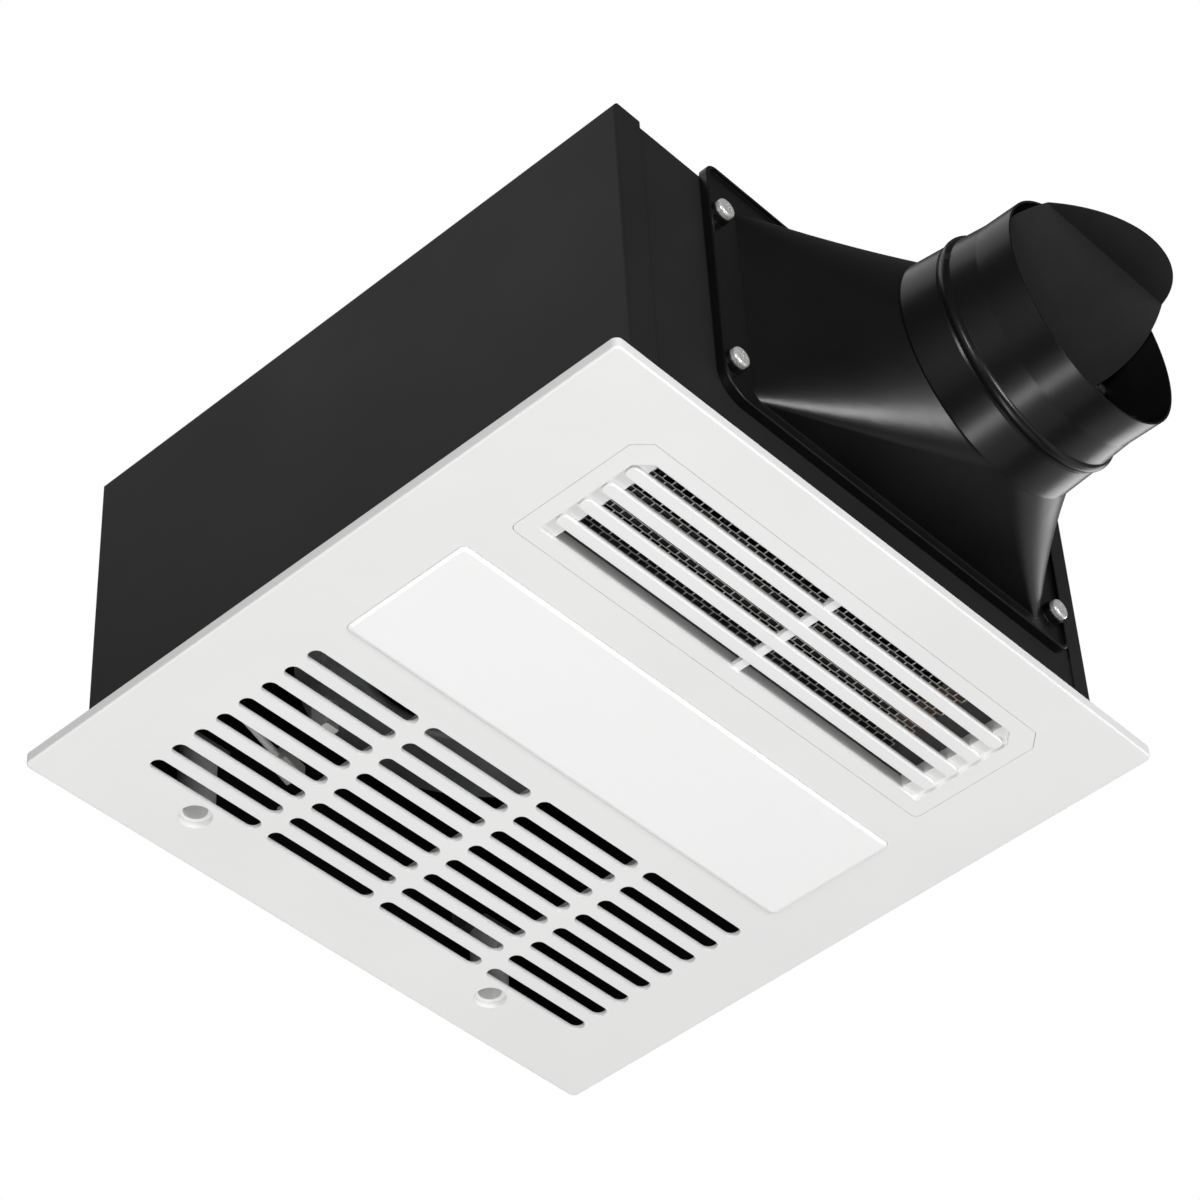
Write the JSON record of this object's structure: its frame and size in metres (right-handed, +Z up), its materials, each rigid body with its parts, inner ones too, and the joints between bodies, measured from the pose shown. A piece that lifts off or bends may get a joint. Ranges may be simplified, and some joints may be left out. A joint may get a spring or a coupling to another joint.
{
  "type": "bathroom heater fan light",
  "caption": "Ceiling unit with an exhaust blower, a warm air heater and a light behind a square slotted panel, with a round duct collar and a hinged damper flap on one end.",
  "frame": {"origin": "centre of the four hanging holes, on the outer face of the housing's top plate", "axes": "+Z up into the ceiling, +X toward the duct collar, +Y to the side that the collar stands nearer"},
  "size_m": [0.4225, 0.31, 0.1654],
  "materials": {
    "body_black": "satin black powder coat",
    "duct_black": "satin black moulding",
    "collar_black": "gloss black paint",
    "flap_black": "matte black",
    "white_plastic": "fine satin white",
    "lens": "milky white diffuser",
    "zinc": "bright zinc plating",
    "galvanised": "galvanised sheet",
    "mesh_steel": "bright steel wire",
    "foam": "closed-cell foam",
    "wheel_black": "black moulding",
    "motor_steel": "pressed steel",
    "lamination": "stacked steel",
    "bronze": "sintered bronze",
    "shaft_steel": "ground steel",
    "ceramic": "brown high-temperature moulding",
    "element_alu": "heat-darkened aluminium",
    "fan_alu": "plain aluminium",
    "board_white": "white solder mask",
    "chip_yellow": "yellow phosphor",
    "nylon": "natural white nylon",
    "lead_white": "white insulation",
    "capacitor_case": "white case",
    "clamp_black": "black nylon"
  },
  "bodies": {
    "housing": {"adapter_gasket": "foam", "adapter_screws": "zinc", "blower_inlet_plate": "galvanised", "blower_posts": "zinc", "blower_screws": "zinc", "blower_scroll": "galvanised", "cable_clamp": "clamp_black", "capacitor": "capacitor_case", "capacitor_clip": "galvanised", "crossflow_bush": "bronze", "crossflow_volute": "galvanised", "damper_bushes": "clamp_black", "duct_adapter": "duct_black", "duct_collar": "collar_black", "earth_screw": "zinc", "element_bars": "element_alu", "element_fins": "element_alu", "element_frame": "ceramic", "exhaust_bushes": "bronze", "exhaust_motor_can": "motor_steel", "exhaust_motor_cap": "motor_steel", "exhaust_motor_screws": "zinc", "exhaust_stator": "lamination", "grille_brackets": "galvanised", "grille_panel": "white_plastic", "grille_screws": "zinc", "heater_duct": "galvanised", "heater_guard": "mesh_steel", "heater_louvre": "white_plastic", "heater_motor": "motor_steel", "housing_body": "body_black", "junction_box": "galvanised", "junction_cover": "galvanised", "junction_screw": "zinc", "leads": "lead_white", "led_board": "board_white", "led_chips": "chip_yellow", "led_driver": "nylon", "led_screws": "zinc", "led_tray": "galvanised", "lens": "lens", "plugs": "nylon", "side_panel_back": "body_black", "side_panel_front": "body_black", "terminal_block": "nylon", "thermal_cutout": "ceramic"},
    "damper": {"damper_flap": "flap_black", "damper_pin": "shaft_steel"},
    "exhaust_rotor": {"exhaust_wheel": "wheel_black", "exhaust_shaft": "shaft_steel", "exhaust_rotor_core": "lamination"},
    "heater_rotor": {"crossflow_wheel": "fan_alu", "crossflow_shaft": "shaft_steel"}
  },
  "joints": [
    {"name": "damper_hinge", "type": "hinge", "parent": "housing", "child": "damper", "pos_m": [0.2051, 0.032, -0.0437], "axis": [0, 1, 0], "range_deg": [0, 106]},
    {"name": "exhaust_spin", "type": "hinge", "parent": "housing", "child": "exhaust_rotor", "pos_m": [-0.055, -0.005, -0.0411], "axis": [0, 0, 1], "continuous": true},
    {"name": "heater_spin", "type": "hinge", "parent": "housing", "child": "heater_rotor", "pos_m": [0.0992, 0, -0.1011], "axis": [0, 1, 0], "continuous": true}
  ]
}
